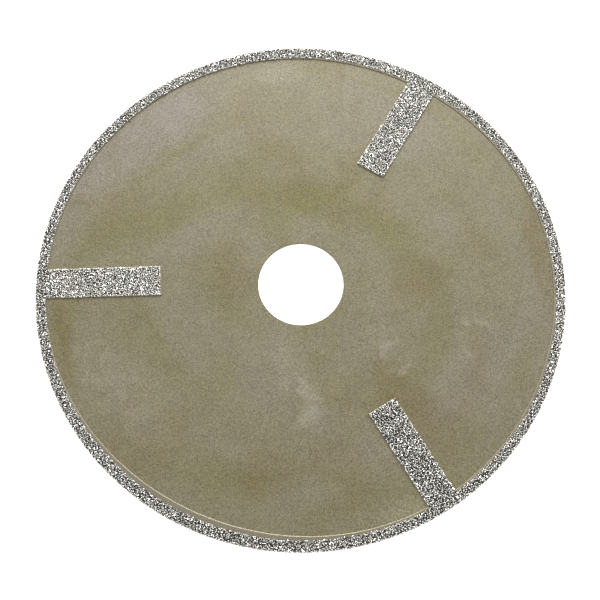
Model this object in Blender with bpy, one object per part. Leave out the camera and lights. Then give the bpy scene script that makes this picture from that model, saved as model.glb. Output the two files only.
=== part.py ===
"""Thin electroplated diamond grinding disc with a continuous rim and side strips.

The disc lies flat: +Z is the spin axis and points out of the front face, and the origin is on the
bore's axis at mid-thickness. A steel core carries a nickel bond that wraps its edge like a channel,
and three bond strips on each face. Each bond is a shallow tray, and its diamond grit is the bed that
lies in the tray and stands proud of it. The trays lie on lands sunk into the core's faces.
"""

import math

import bmesh
import bpy

# Driving dimensions, in metres.
WHEEL_RADIUS = 0.0625  # over the grit of the rim
BORE_RADIUS = 0.010
CORE_THICKNESS = 0.0014
BORE_CHAMFER = 0.00015

LAND_DEPTH = 0.0001  # how far the plated lands are sunk below the core's faces
BOND_THICKNESS = 0.00015  # floor of a bond tray
LIP_HEIGHT = 0.0001  # lip of a bond tray above its floor
GRIT_THICKNESS = 0.00035
LAYER_GAP = 0.00005  # clearance between a layer and its neighbour, far below a layer's thickness
BOND_CORNER_RADIUS = 0.0002  # outer corner of the bond where it turns round the wheel's edge

RIM_GRIT_WIDTH = 0.0030
RIM_LIP_WIDTH = 0.00035

# The strips of one face, masked by hand and so not quite alike. Each has the azimuth of the middle of
# its axis, the slew of that axis from the radius through the middle, and where its grit starts.
STRIPS = (
    {"azimuth": math.radians(60.7), "slew": math.radians(-0.3), "inner_radius": 0.0335},
    {"azimuth": math.radians(180.6), "slew": math.radians(2.2), "inner_radius": 0.0330},
    {"azimuth": math.radians(302.9), "slew": math.radians(-0.4), "inner_radius": 0.0347},
)
STRIP_GRIT_WIDTH = 0.0072
STRIP_LIP_WIDTH = 0.0002
STRIP_EDGE_BEVEL = 0.00008

# Faceting of the round shapes.
SEGMENTS = 96
CORNER_STEPS = 2
STRIP_END_STEPS = 4
SMOOTH_ANGLE = math.radians(35)

# Heights above mid-thickness on the front face; the back face mirrors them.
FACE_Z = CORE_THICKNESS / 2
LAND_Z = FACE_Z - LAND_DEPTH
BOND_UNDERSIDE_Z = LAND_Z + LAYER_GAP
TRAY_FLOOR_Z = BOND_UNDERSIDE_Z + BOND_THICKNESS
LIP_TOP_Z = TRAY_FLOOR_Z + LIP_HEIGHT
GRIT_UNDERSIDE_Z = TRAY_FLOOR_Z + LAYER_GAP
GRIT_TOP_Z = GRIT_UNDERSIDE_Z + GRIT_THICKNESS

# Radii, from the wheel's edge inwards.
BOND_OUTER_RADIUS = WHEEL_RADIUS - GRIT_THICKNESS - LAYER_GAP
CORE_RADIUS = BOND_OUTER_RADIUS - BOND_THICKNESS - LAYER_GAP
RIM_GRIT_INNER_RADIUS = WHEEL_RADIUS - RIM_GRIT_WIDTH
RIM_TRAY_RADIUS = RIM_GRIT_INNER_RADIUS - LAYER_GAP
RIM_BOND_INNER_RADIUS = RIM_TRAY_RADIUS - RIM_LIP_WIDTH
SHOULDER_RADIUS = RIM_BOND_INNER_RADIUS - LAYER_GAP

# The flats of a faceted ring lie inside its corners by this factor, and the strips end before them.
FLAT_FACTOR = math.cos(math.pi / SEGMENTS)
STRIP_BOND_END_RADIUS = RIM_BOND_INNER_RADIUS * FLAT_FACTOR - LAYER_GAP
STRIP_GRIT_END_RADIUS = RIM_GRIT_INNER_RADIUS * FLAT_FACTOR - LAYER_GAP

# The corners of the bond, of the grit's inside and of its outside share one centre.
GRIT_INSIDE_CORNER_RADIUS = BOND_CORNER_RADIUS + LAYER_GAP
GRIT_CORNER_RADIUS = GRIT_INSIDE_CORNER_RADIUS + GRIT_THICKNESS
CORNER_CENTRE_R = WHEEL_RADIUS - GRIT_CORNER_RADIUS
CORNER_CENTRE_Z = GRIT_TOP_Z - GRIT_CORNER_RADIUS

# How far a cutter reaches past the surface that it cuts.
CUTTER_OVERRUN = 0.001

# Viewport colours (linear RGB), metallic and roughness.
CORE_STEEL = ("core_steel", (0.30, 0.28, 0.19), 0.6, 0.5)
NICKEL_BOND = ("nickel_bond", (0.45, 0.43, 0.35), 0.9, 0.4)
DIAMOND_GRIT = ("diamond_grit", (0.30, 0.29, 0.27), 0.2, 0.35)


def make_material(finish):
    """A Principled material from a (name, colour, metallic, roughness) tuple, made once."""
    name, colour, metallic, roughness = finish
    material = bpy.data.materials.get(name)
    if material is None:
        material = bpy.data.materials.new(name)
        material.use_nodes = True
        shader = material.node_tree.nodes["Principled BSDF"]
        shader.inputs["Base Color"].default_value = (*colour, 1.0)
        shader.inputs["Metallic"].default_value = metallic
        shader.inputs["Roughness"].default_value = roughness
    return material


def add_object(name, mesh, finish, parent):
    """Links a named object with its material under the wheel's empty."""
    mesh.materials.clear()
    mesh.materials.append(make_material(finish))
    mesh.shade_smooth()
    mesh.set_sharp_from_angle(angle=SMOOTH_ANGLE)
    piece = bpy.data.objects.new(name, mesh)
    bpy.context.collection.objects.link(piece)
    piece.parent = parent
    return piece


def mirrored(profile):
    """A closed profile from its upper half, which runs from the inside to the outside."""
    return profile + [(r, -z) for r, z in reversed(profile)]


def corner_arc(radius):
    """The upper outer corner of a layer, from its face round to the wheel's edge."""
    angles = [math.pi / 2 * (1 - step / CORNER_STEPS) for step in range(CORNER_STEPS + 1)]
    return [
        (CORNER_CENTRE_R + radius * math.cos(a), CORNER_CENTRE_Z + radius * math.sin(a))
        for a in angles
    ]


def turned_mesh(name, profile):
    """Revolves a closed (r, z) profile round Z into one ring-shaped solid."""
    bm = bmesh.new()
    rings = []
    for segment in range(SEGMENTS):
        angle = 2 * math.pi * segment / SEGMENTS
        cos_a, sin_a = math.cos(angle), math.sin(angle)
        rings.append([bm.verts.new((r * cos_a, r * sin_a, z)) for r, z in profile])
    count = len(profile)
    for segment, ring in enumerate(rings):
        following = rings[(segment + 1) % SEGMENTS]
        for i in range(count):
            j = (i + 1) % count
            bm.faces.new((ring[i], following[i], following[j], ring[j]))
    bmesh.ops.recalc_face_normals(bm, faces=bm.faces)
    mesh = bpy.data.meshes.new(name)
    bm.to_mesh(mesh)
    bm.free()
    return mesh


def strip_outline(strip, margin, outer_radius):
    """Outline of a strip in its own frame, where +X is the radius through the middle of its axis.

    The inner end is square and the sides are straight, both the margin outside the grit, and the
    outer end lies on a circle round the wheel's axis.
    """
    middle = (strip["inner_radius"] + WHEEL_RADIUS) / 2
    cos_s, sin_s = math.cos(strip["slew"]), math.sin(strip["slew"])
    half_width = STRIP_GRIT_WIDTH / 2 + margin
    inner_end = strip["inner_radius"] - margin - middle

    def side_point(along, across):
        return middle + along * cos_s - across * sin_s, along * sin_s + across * cos_s

    def angle_on_circle(across):
        foot_x, foot_y = side_point(0.0, across)
        run = foot_x * cos_s + foot_y * sin_s
        along = math.sqrt(run**2 - foot_x**2 - foot_y**2 + outer_radius**2) - run
        x, y = side_point(along, across)
        return math.atan2(y, x)

    start, stop = angle_on_circle(-half_width), angle_on_circle(half_width)
    outline = [side_point(inner_end, half_width), side_point(inner_end, -half_width)]
    for step in range(STRIP_END_STEPS + 1):
        angle = start + (stop - start) * step / STRIP_END_STEPS
        outline.append((outer_radius * math.cos(angle), outer_radius * math.sin(angle)))
    return outline


def add_prism(bm, outline, bottom_z, top_z, turn=0.0, flipped=False):
    """Adds an outline as a prism, turned about Z and, for the back face, rolled about its own X."""
    side = -1 if flipped else 1
    cos_t, sin_t = math.cos(turn), math.sin(turn)
    loops = []
    for z in (bottom_z, top_z):
        loops.append([
            bm.verts.new((x * cos_t - side * y * sin_t, x * sin_t + side * y * cos_t, side * z))
            for x, y in outline
        ])
    bottom, top = loops
    faces = [bm.faces.new(list(reversed(bottom))), bm.faces.new(top)]
    count = len(outline)
    for i in range(count):
        j = (i + 1) % count
        faces.append(bm.faces.new((bottom[i], bottom[j], top[j], top[i])))
    return faces


def prism_mesh(name, outline, bottom_z, top_z):
    """One prism as a mesh in the strip's own frame."""
    bm = bmesh.new()
    add_prism(bm, outline, bottom_z, top_z)
    mesh = bpy.data.meshes.new(name)
    bm.to_mesh(mesh)
    bm.free()
    return mesh


def strip_cutter(name, margin, outer_radius, bottom_z, parent):
    """A hidden cutter with one prism for every strip of both faces."""
    bm = bmesh.new()
    for strip in STRIPS:
        outline = strip_outline(strip, margin, outer_radius)
        for flipped in (False, True):
            top_z = LIP_TOP_Z + CUTTER_OVERRUN
            add_prism(bm, outline, bottom_z, top_z, strip["azimuth"], flipped)
    mesh = bpy.data.meshes.new(name)
    bm.to_mesh(mesh)
    bm.free()
    return hidden_cutter(name, mesh, parent)


def hidden_cutter(name, mesh, parent):
    """An object that only cuts: it is left out of renders and drawn as wire."""
    cutter = bpy.data.objects.new(name, mesh)
    bpy.context.collection.objects.link(cutter)
    cutter.parent = parent
    cutter.hide_render = True
    cutter.display_type = "WIRE"
    return cutter


def cut(piece, cutter):
    """Subtracts a cutter from a piece."""
    modifier = piece.modifiers.new(cutter.name, "BOOLEAN")
    modifier.operation = "DIFFERENCE"
    modifier.solver = "EXACT"
    modifier.object = cutter


def make_core(wheel):
    """The steel core: bore, two raised faces, the sunk land of the rim and six strip pockets."""
    upper = [
        (BORE_RADIUS, FACE_Z - BORE_CHAMFER),
        (BORE_RADIUS + BORE_CHAMFER, FACE_Z),
        (SHOULDER_RADIUS, FACE_Z),
        (SHOULDER_RADIUS, LAND_Z),
        (CORE_RADIUS, LAND_Z),
    ]
    core = add_object("core_disc", turned_mesh("core_disc", mirrored(upper)), CORE_STEEL, wheel)
    margin = STRIP_LIP_WIDTH + 2 * LAYER_GAP
    end_radius = (SHOULDER_RADIUS + CORE_RADIUS) / 2
    cut(core, strip_cutter("strip_pockets", margin, end_radius, LAND_Z, wheel))


def make_rim_bond(wheel):
    """The nickel channel round the edge, its inner lips open where the strips run in."""
    upper = [
        (CORE_RADIUS + LAYER_GAP, BOND_UNDERSIDE_Z),
        (RIM_BOND_INNER_RADIUS, BOND_UNDERSIDE_Z),
        (RIM_BOND_INNER_RADIUS, LIP_TOP_Z),
        (RIM_TRAY_RADIUS, LIP_TOP_Z),
        (RIM_TRAY_RADIUS, TRAY_FLOOR_Z),
        *corner_arc(BOND_CORNER_RADIUS),
    ]
    bond = add_object("rim_bond", turned_mesh("rim_bond", mirrored(upper)), NICKEL_BOND, wheel)
    end_radius = (RIM_GRIT_INNER_RADIUS + CORNER_CENTRE_R) / 2
    cut(bond, strip_cutter("lip_gates", LAYER_GAP, end_radius, TRAY_FLOOR_Z, wheel))


def make_rim_grit(wheel):
    """The grit of the rim: two flat bands joined round the wheel's edge."""
    upper = [
        *reversed(corner_arc(GRIT_INSIDE_CORNER_RADIUS)),
        (RIM_GRIT_INNER_RADIUS, GRIT_UNDERSIDE_Z),
        (RIM_GRIT_INNER_RADIUS, GRIT_TOP_Z),
        *corner_arc(GRIT_CORNER_RADIUS),
    ]
    add_object("rim_grit", turned_mesh("rim_grit", mirrored(upper)), DIAMOND_GRIT, wheel)


def strip_tray_mesh(strip, wheel):
    """A strip's bond as a mesh to share: a block, opened from above and at its outer end."""
    margin = STRIP_LIP_WIDTH + LAYER_GAP
    block_outline = strip_outline(strip, margin, STRIP_BOND_END_RADIUS)
    opening_outline = strip_outline(strip, LAYER_GAP, WHEEL_RADIUS)
    opening_top = LIP_TOP_Z + CUTTER_OVERRUN
    opening = hidden_cutter(
        "tray_opening", prism_mesh("tray_opening", opening_outline, TRAY_FLOOR_Z, opening_top), wheel
    )
    block = bpy.data.objects.new(
        "tray_block", prism_mesh("tray_block", block_outline, BOND_UNDERSIDE_Z, LIP_TOP_Z)
    )
    bpy.context.collection.objects.link(block)
    cut(block, opening)
    evaluated = block.evaluated_get(bpy.context.evaluated_depsgraph_get())
    tray = bpy.data.meshes.new_from_object(evaluated)
    for helper in (block, opening):
        bpy.data.objects.remove(helper, do_unlink=True)
    return tray


def make_strips(wheel):
    """Three strips on each face, each a bond tray and the grit bed that lies in it."""
    for number, strip in enumerate(STRIPS, start=1):
        tray = strip_tray_mesh(strip, wheel)
        bed_outline = strip_outline(strip, 0.0, STRIP_GRIT_END_RADIUS)
        bed = prism_mesh("strip_bed", bed_outline, GRIT_UNDERSIDE_Z, GRIT_TOP_Z)
        for side, roll in (("front", 0.0), ("back", math.pi)):
            bond = add_object(f"strip_bond_{side}_{number}", tray, NICKEL_BOND, wheel)
            grit = add_object(f"strip_grit_{side}_{number}", bed, DIAMOND_GRIT, wheel)
            for piece in (bond, grit):
                piece.rotation_euler = (roll, 0.0, strip["azimuth"])
            bevel = grit.modifiers.new("crest_bevel", "BEVEL")
            bevel.width = STRIP_EDGE_BEVEL
            bevel.segments = 1
            bevel.limit_method = "ANGLE"
            bevel.angle_limit = SMOOTH_ANGLE


def clear_scene():
    """Removes whatever objects the file starts with."""
    for leftover in list(bpy.data.objects):
        bpy.data.objects.remove(leftover, do_unlink=True)


def main():
    clear_scene()
    wheel = bpy.data.objects.new("wheel", None)
    bpy.context.collection.objects.link(wheel)
    make_core(wheel)
    make_rim_bond(wheel)
    make_rim_grit(wheel)
    make_strips(wheel)


main()
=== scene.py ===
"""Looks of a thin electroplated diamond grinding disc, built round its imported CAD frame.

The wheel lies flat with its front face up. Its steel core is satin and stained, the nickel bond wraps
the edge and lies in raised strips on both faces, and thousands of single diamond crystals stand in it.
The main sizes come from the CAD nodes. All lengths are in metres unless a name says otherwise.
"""

from __future__ import annotations

import logging
import math
from dataclasses import dataclass, field
from enum import Enum

import bmesh
import bpy
import numpy as np
from mathutils import Matrix, Vector, kdtree, noise


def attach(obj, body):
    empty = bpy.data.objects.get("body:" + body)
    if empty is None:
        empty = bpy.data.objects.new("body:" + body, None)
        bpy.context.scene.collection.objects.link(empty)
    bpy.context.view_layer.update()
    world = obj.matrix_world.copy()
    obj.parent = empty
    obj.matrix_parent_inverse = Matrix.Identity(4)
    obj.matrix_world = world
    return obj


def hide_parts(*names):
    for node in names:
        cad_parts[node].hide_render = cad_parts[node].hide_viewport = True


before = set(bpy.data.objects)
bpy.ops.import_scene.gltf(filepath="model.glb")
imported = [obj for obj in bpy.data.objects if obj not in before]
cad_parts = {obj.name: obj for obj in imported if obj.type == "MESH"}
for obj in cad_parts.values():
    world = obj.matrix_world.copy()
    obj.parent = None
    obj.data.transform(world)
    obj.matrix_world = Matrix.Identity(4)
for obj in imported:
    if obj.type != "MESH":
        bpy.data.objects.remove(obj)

LOG = logging.getLogger("diamond_wheel")
MM = 0.001
BODY = "root"
BAKE_MAP = "OFBake"
SAME = 0.01 * MM  # heights nearer than this count as one
LONG_EDGE = 1 * MM  # only edges longer than this give a strip's axis
TINY = 1e-12  # keeps a division by a length safe
MIDDLE = (0.3, 0.7)  # where most of a noise's values lie

Colour = tuple[float, float, float, float]
Span = tuple[float, float]
Socket = bpy.types.NodeSocket
Material = bpy.types.Material
Piece = bpy.types.Object


class Face(Enum):
    """A face of the wheel, with the sign of its height."""

    FRONT = 1
    BACK = -1


class Slot(Enum):
    """The record's material slots."""

    CORE = "core_steel"
    BOND = "nickel_bond"
    GRIT = "diamond_grit"


# ---- Sizes, read from the CAD nodes ----


def node_points(name: str) -> np.ndarray:
    """The corner points of a CAD node.

    Args:
        name: The node's name.

    Returns:
        An array of one row (x, y, z) per point.
    """
    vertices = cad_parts[name].data.vertices
    flat = np.zeros(len(vertices) * 3, np.float32)
    vertices.foreach_get("co", flat)
    return flat.reshape(-1, 3).astype(float)


@dataclass(frozen=True)
class WheelSizes:
    """Radii and half thicknesses of the wheel, all measured on the CAD nodes."""

    bore_radius: float
    bore_chamfer: float
    core_radius: float
    core_half: float
    bond_inner_radius: float
    grit_inner_radius: float
    wheel_radius: float
    wheel_half: float

    @classmethod
    def measured(cls) -> WheelSizes:
        """Reads the sizes from the core, the rim's bond and the rim's grit."""
        core, bond, grit = (node_points(n) for n in ("core_disc", "rim_bond", "rim_grit"))
        core_r, bond_r, grit_r = (np.hypot(p[:, 0], p[:, 1]) for p in (core, bond, grit))
        core_half = core[:, 2].max()
        face_start = core_r[core[:, 2] > core_half - SAME].min()
        return cls(
            bore_radius=core_r.min(),
            bore_chamfer=face_start - core_r.min(),
            core_radius=core_r.max(),
            core_half=core_half,
            bond_inner_radius=bond_r.min(),
            grit_inner_radius=grit_r.min(),
            wheel_radius=grit_r.max(),
            wheel_half=grit[:, 2].max(),
        )


@dataclass(frozen=True)
class StripPlace:
    """Where a strip's grit lies: its axis, its inner end and its width.

    A place on the strip is given along its axis, from the point of the axis nearest the wheel's
    centre, and across it.
    """

    face: Face
    number: int
    axis: np.ndarray
    offset: float
    inner_end: float
    half_width: float

    @classmethod
    def measured(cls, face: Face, number: int) -> StripPlace:
        """Reads the place of one strip from its CAD grit node.

        Args:
            face: The face that the strip is on.
            number: The strip's number on that face.

        Returns:
            The strip's place.
        """
        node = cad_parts[f"strip_grit_{face.name.lower()}_{number}"]
        points = node_points(node.name)[:, :2]
        edges = np.array([edge.vertices[:] for edge in node.data.edges])
        runs = points[edges[:, 1]] - points[edges[:, 0]]
        runs = runs[np.hypot(*runs.T) > LONG_EDGE]
        axes = runs / np.hypot(*runs.T)[:, None]
        across = points @ np.stack([-axes[:, 1], axes[:, 0]])
        axis = axes[np.argmin(np.ptp(across, axis=0))]
        if points.mean(axis=0) @ axis < 0:
            axis = -axis
        spread = points @ np.array([-axis[1], axis[0]])
        return cls(
            face=face,
            number=number,
            axis=axis,
            offset=(spread.max() + spread.min()) / 2,
            inner_end=(points @ axis).min(),
            half_width=np.ptp(spread) / 2,
        )

    @property
    def label(self) -> str:
        """The strip's face and number, as in the node names."""
        return f"{self.face.name.lower()}_{self.number}"

    def to_wheel(self, along: np.ndarray, across: np.ndarray) -> tuple[np.ndarray, np.ndarray]:
        """Turns places on the strip into x and y on the wheel."""
        across = across + self.offset
        x = along * self.axis[0] - across * self.axis[1]
        y = along * self.axis[1] + across * self.axis[0]
        return x, y

    def reach(self, across: np.ndarray, radius: np.ndarray | float) -> np.ndarray:
        """How far along the axis a place across it meets a circle round the wheel's centre."""
        return np.sqrt(radius**2 - (across + self.offset) ** 2)


# ---- Mesh and node helpers ----


def mesh_piece(
    name: str,
    points: np.ndarray,
    faces: list | np.ndarray,
    corner_uv: np.ndarray | None = None,
) -> Piece:
    """Makes a mesh object from arrays.

    Args:
        name: The piece's name.
        points: One row (x, y, z) per vertex.
        faces: Vertex numbers of each face.
        corner_uv: One row (u, v) per face corner for the bake's map, or None for no map.

    Returns:
        The new object, linked to the scene.
    """
    mesh = bpy.data.meshes.new(name)
    mesh.from_pydata(points.tolist(), [], faces if isinstance(faces, list) else faces.tolist())
    if corner_uv is not None:
        layer = mesh.uv_layers.new(name=BAKE_MAP)
        layer.data.foreach_set("uv", corner_uv.astype(np.float32).ravel())
    mesh.validate()
    return into_scene(name, mesh)


def into_scene(name: str, data: bpy.types.ID) -> Piece:
    """Puts a mesh, a lamp's data or a camera's data into the scene as an object."""
    item = bpy.data.objects.new(name, data)
    bpy.context.scene.collection.objects.link(item)
    return item


def point_values(piece: Piece, name: str, values: np.ndarray) -> None:
    """Stores one number per vertex as a named attribute that a material can read."""
    attribute = piece.data.attributes.new(name, "FLOAT", "POINT")
    attribute.data.foreach_set("value", values.astype(np.float32))


def fit_piece(piece: Piece, finish: Material, node: str) -> Piece:
    """Dresses a piece, makes it ride on the wheel's body and makes it stand for a CAD node.

    Args:
        piece: The piece.
        finish: Its material.
        node: The CAD node that the piece stands for.

    Returns:
        The same piece.
    """
    piece.data.materials.append(finish)
    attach(piece, BODY)
    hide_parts(node)
    LOG.info("%s stands for %s with %d faces", piece.name, node, len(piece.data.polygons))
    return piece


def on_wheel(radius: np.ndarray, azimuth: np.ndarray, height: np.ndarray) -> np.ndarray:
    """Points round the spin axis, or directions from it, with x, y and z on the last axis."""
    x, y = radius * np.cos(azimuth), radius * np.sin(azimuth)
    return np.stack(np.broadcast_arrays(x, y, height), axis=-1)


def inset(share: np.ndarray, margin: float = 0.02) -> np.ndarray:
    """Draws shares from 0 to 1 in from both edges of the bake's map."""
    return margin + (1 - 2 * margin) * share


def point_tree(places: np.ndarray) -> kdtree.KDTree:
    """A search tree of flat places, given as one row (first, second) each."""
    tree = kdtree.KDTree(len(places))
    for number, (first, second) in enumerate(places.tolist()):
        tree.insert((first, second, 0.0), number)
    tree.balance()
    return tree


def rgb(red: float, green: float, blue: float) -> Colour:
    """An opaque linear colour."""
    return red, green, blue, 1.0


@dataclass(frozen=True)
class Pattern:
    """Noise whose features have about a given size."""

    size: float
    detail: float
    roughness: float
    distortion: float = 0.0


class NodeTree:
    """A short way to write the nodes of a material or of the surround."""

    def __init__(self, owner: Material | bpy.types.World, shader: str) -> None:
        """Turns on the owner's nodes and finds its shader by name."""
        owner.use_nodes = True
        self.owner = owner
        self.tree = owner.node_tree
        self.shader = self.tree.nodes[shader]

    @classmethod
    def for_material(cls, name: str) -> NodeTree:
        """Starts a new material."""
        return cls(bpy.data.materials.new(name), "Principled BSDF")

    def add(self, kind: str, inputs: dict | None = None, **settings: object) -> bpy.types.Node:
        """Adds a node.

        Args:
            kind: The node's type without its ShaderNode prefix.
            inputs: What feeds its inputs, by their names or numbers.
            **settings: Properties to set on the node.

        Returns:
            The new node.
        """
        node = self.tree.nodes.new(f"ShaderNode{kind}")
        for key, value in settings.items():
            setattr(node, key, value)
        for key, source in (inputs or {}).items():
            self.feed(node.inputs[key], source)
        return node

    def feed(self, socket: Socket, source: object) -> None:
        """Links a socket to a source, or sets it to a number or colour."""
        if isinstance(source, Socket):
            self.tree.links.new(source, socket)
        elif socket.type == "RGBA" and len(source) == 3:
            socket.default_value = rgb(*source)
        else:
            socket.default_value = source

    def shade(self, **values: object) -> None:
        """Sets or links the shader's sockets, named with underscores for spaces."""
        for key, value in values.items():
            self.feed(self.shader.inputs[key.replace("_", " ")], value)

    def noise(self, where: Socket, pattern: Pattern) -> Socket:
        """Noise over places, from 0 to 1."""
        inputs = {
            "Vector": where,
            "Scale": 1.0 / pattern.size,
            "Detail": pattern.detail,
            "Roughness": pattern.roughness,
            "Distortion": pattern.distortion,
        }
        return self.add("TexNoise", inputs, noise_dimensions="3D").outputs["Fac"]

    def remap(
        self, value: Socket, low: float, high: float, to_low: float, to_high: float
    ) -> Socket:
        """Maps a value from one range to another with soft ends."""
        names = ("Value", "From Min", "From Max", "To Min", "To Max")
        inputs = dict(zip(names, (value, low, high, to_low, to_high)))
        return self.add("MapRange", inputs, interpolation_type="SMOOTHSTEP").outputs["Result"]

    def math(self, operation: str, a: object, b: object = 0.0) -> Socket:
        """Arithmetic on one or two values."""
        return self.add("Math", {0: a, 1: b}, operation=operation).outputs[0]

    def vector(self, operation: str, a: object, b: object = (0.0, 0.0, 0.0)) -> Socket:
        """Arithmetic on one or two places; a length comes out as one value."""
        node = self.add("VectorMath", {0: a, 1: b}, operation=operation)
        return node.outputs["Value" if operation == "LENGTH" else "Vector"]

    def point(self, x: object = 0.0, y: object = 0.0, z: object = 0.0) -> Socket:
        """A place made of three values."""
        return self.add("CombineXYZ", {0: x, 1: y, 2: z}).outputs["Vector"]

    def mix(self, factor: object, a: object, b: object, blend: str = "MIX") -> Socket:
        """Mixes two colours."""
        inputs = {"Factor": factor, "A": a, "B": b}
        return self.add("Mix", inputs, data_type="RGBA", blend_type=blend).outputs["Result"]

    def bump(self, height: Socket, depth: float, strength: float = 1.0) -> Socket:
        """A normal that is tilted by a height of the given depth."""
        inputs = {"Height": height, "Distance": depth, "Strength": strength}
        return self.add("Bump", inputs).outputs["Normal"]

    def places(self, stretch: tuple[float, float, float]) -> Socket:
        """The point on the wheel, in metres, stretched along each axis."""
        where = self.add("TexCoord").outputs["Object"]
        return self.add("Mapping", {"Vector": where, "Scale": stretch}).outputs["Vector"]

    def axis(self, place: Socket, letter: str) -> Socket:
        """One axis of a place, or of a direction."""
        return self.add("SeparateXYZ", {"Vector": place}).outputs[letter]

    def attribute(self, name: str) -> Socket:
        """A piece's own values, one per vertex."""
        return self.add("Attribute", attribute_name=name).outputs["Fac"]


# ---- Finishes ----


class Tint(Enum):
    """How a stain multiplies the red, green and blue of the plating under it."""

    PALE = (1.33, 1.36, 1.60)
    MILKY = (1.10, 1.09, 1.32)
    OLIVE = (0.87, 0.88, 0.62)
    BROWN = (0.87, 0.79, 0.62)


@dataclass(frozen=True)
class Mark:
    """A stain on the front face: an oval patch, or a ring where a drop has dried."""

    tint: Tint
    x_mm: float
    y_mm: float
    length_mm: float
    width_mm: float
    turn: float = 0.0
    strength: float = 0.8
    ring: bool = False


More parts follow.
